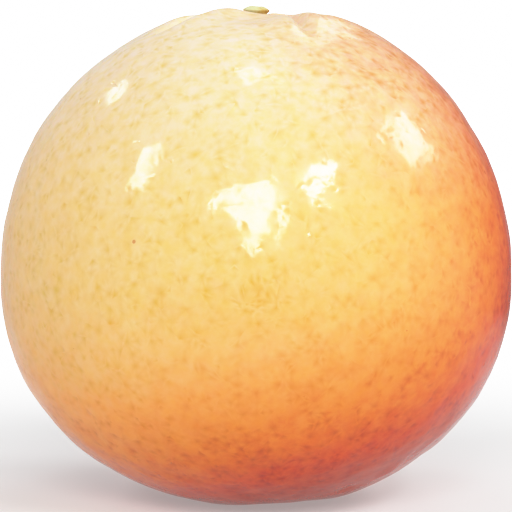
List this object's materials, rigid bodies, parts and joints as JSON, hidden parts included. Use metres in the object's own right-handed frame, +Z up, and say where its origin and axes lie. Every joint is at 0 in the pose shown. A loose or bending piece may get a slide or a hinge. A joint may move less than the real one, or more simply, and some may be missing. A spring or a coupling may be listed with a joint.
{
  "type": "grapefruit",
  "caption": "Whole grapefruit as picked, furrowed round its stem end, with its calyx button on top, standing on a small flat spot.",
  "frame": {"origin": "middle of the small flat spot that the fruit rests on, in the plane of that spot", "axes": "+Z up through the calyx button, -Y towards the side that the picture shows, +X to that side's right"},
  "size_m": [0.11, 0.1103, 0.1063],
  "materials": {
    "peel": "waxed citrus peel, finely pitted, yellow at the stem end and blushed orange to red below and on the right",
    "calyx": "drying calyx, pale yellow-green with a browned edge, matt"
  },
  "bodies": {
    "root": {"fruit": "peel", "calyx_button": "calyx"}
  },
  "joints": []
}
